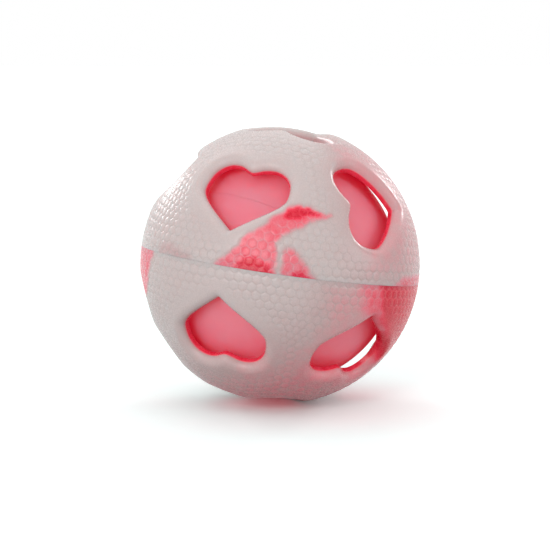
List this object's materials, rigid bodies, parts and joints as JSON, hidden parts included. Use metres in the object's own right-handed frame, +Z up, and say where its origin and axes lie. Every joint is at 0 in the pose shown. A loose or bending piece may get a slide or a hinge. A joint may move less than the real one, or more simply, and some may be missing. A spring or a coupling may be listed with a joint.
{
  "type": "squeaky dog ball",
  "caption": "Hollow rubber ball in two halves, pierced with heart openings, round a loose softer ball that squeaks through a reed when bitten.",
  "frame": {"origin": "on the table, under the centre of the ball as it lies in the picture", "axes": "+Z up, -Y towards the viewer of the picture, +X to the right"},
  "size_m": [0.085, 0.0849, 0.0844],
  "materials": {
    "shell_rubber": "matt pale grey rubber, marbled with red, fine hexagon relief outside",
    "inner_vinyl": "satin pink-red soft vinyl",
    "squeaker_plastic": "plain white moulding",
    "reed_film": "thin translucent strip"
  },
  "bodies": {
    "shell": {"upper_shell": "shell_rubber", "lower_shell": "shell_rubber"},
    "inner_ball": {"inner_ball_upper": "inner_vinyl", "inner_ball_lower": "inner_vinyl", "squeaker_housing": "squeaker_plastic", "reed_trough": "squeaker_plastic", "reed_wedge": "squeaker_plastic"},
    "reed": {"reed": "reed_film"}
  },
  "joints": [
    {"name": "inner_ball_spin", "type": "hinge", "parent": "shell", "child": "inner_ball", "pos_m": [0, 0, 0.04166], "axis": [0, 0, 1], "continuous": true},
    {"name": "reed_flex", "type": "hinge", "parent": "inner_ball", "child": "reed", "pos_m": [0.01441, 0.01717, 0.06408], "axis": [0.4545, 0.5417, -0.7071], "range_deg": [-1.5, 3], "stiffness_Nm_per_rad": 0.002}
  ]
}
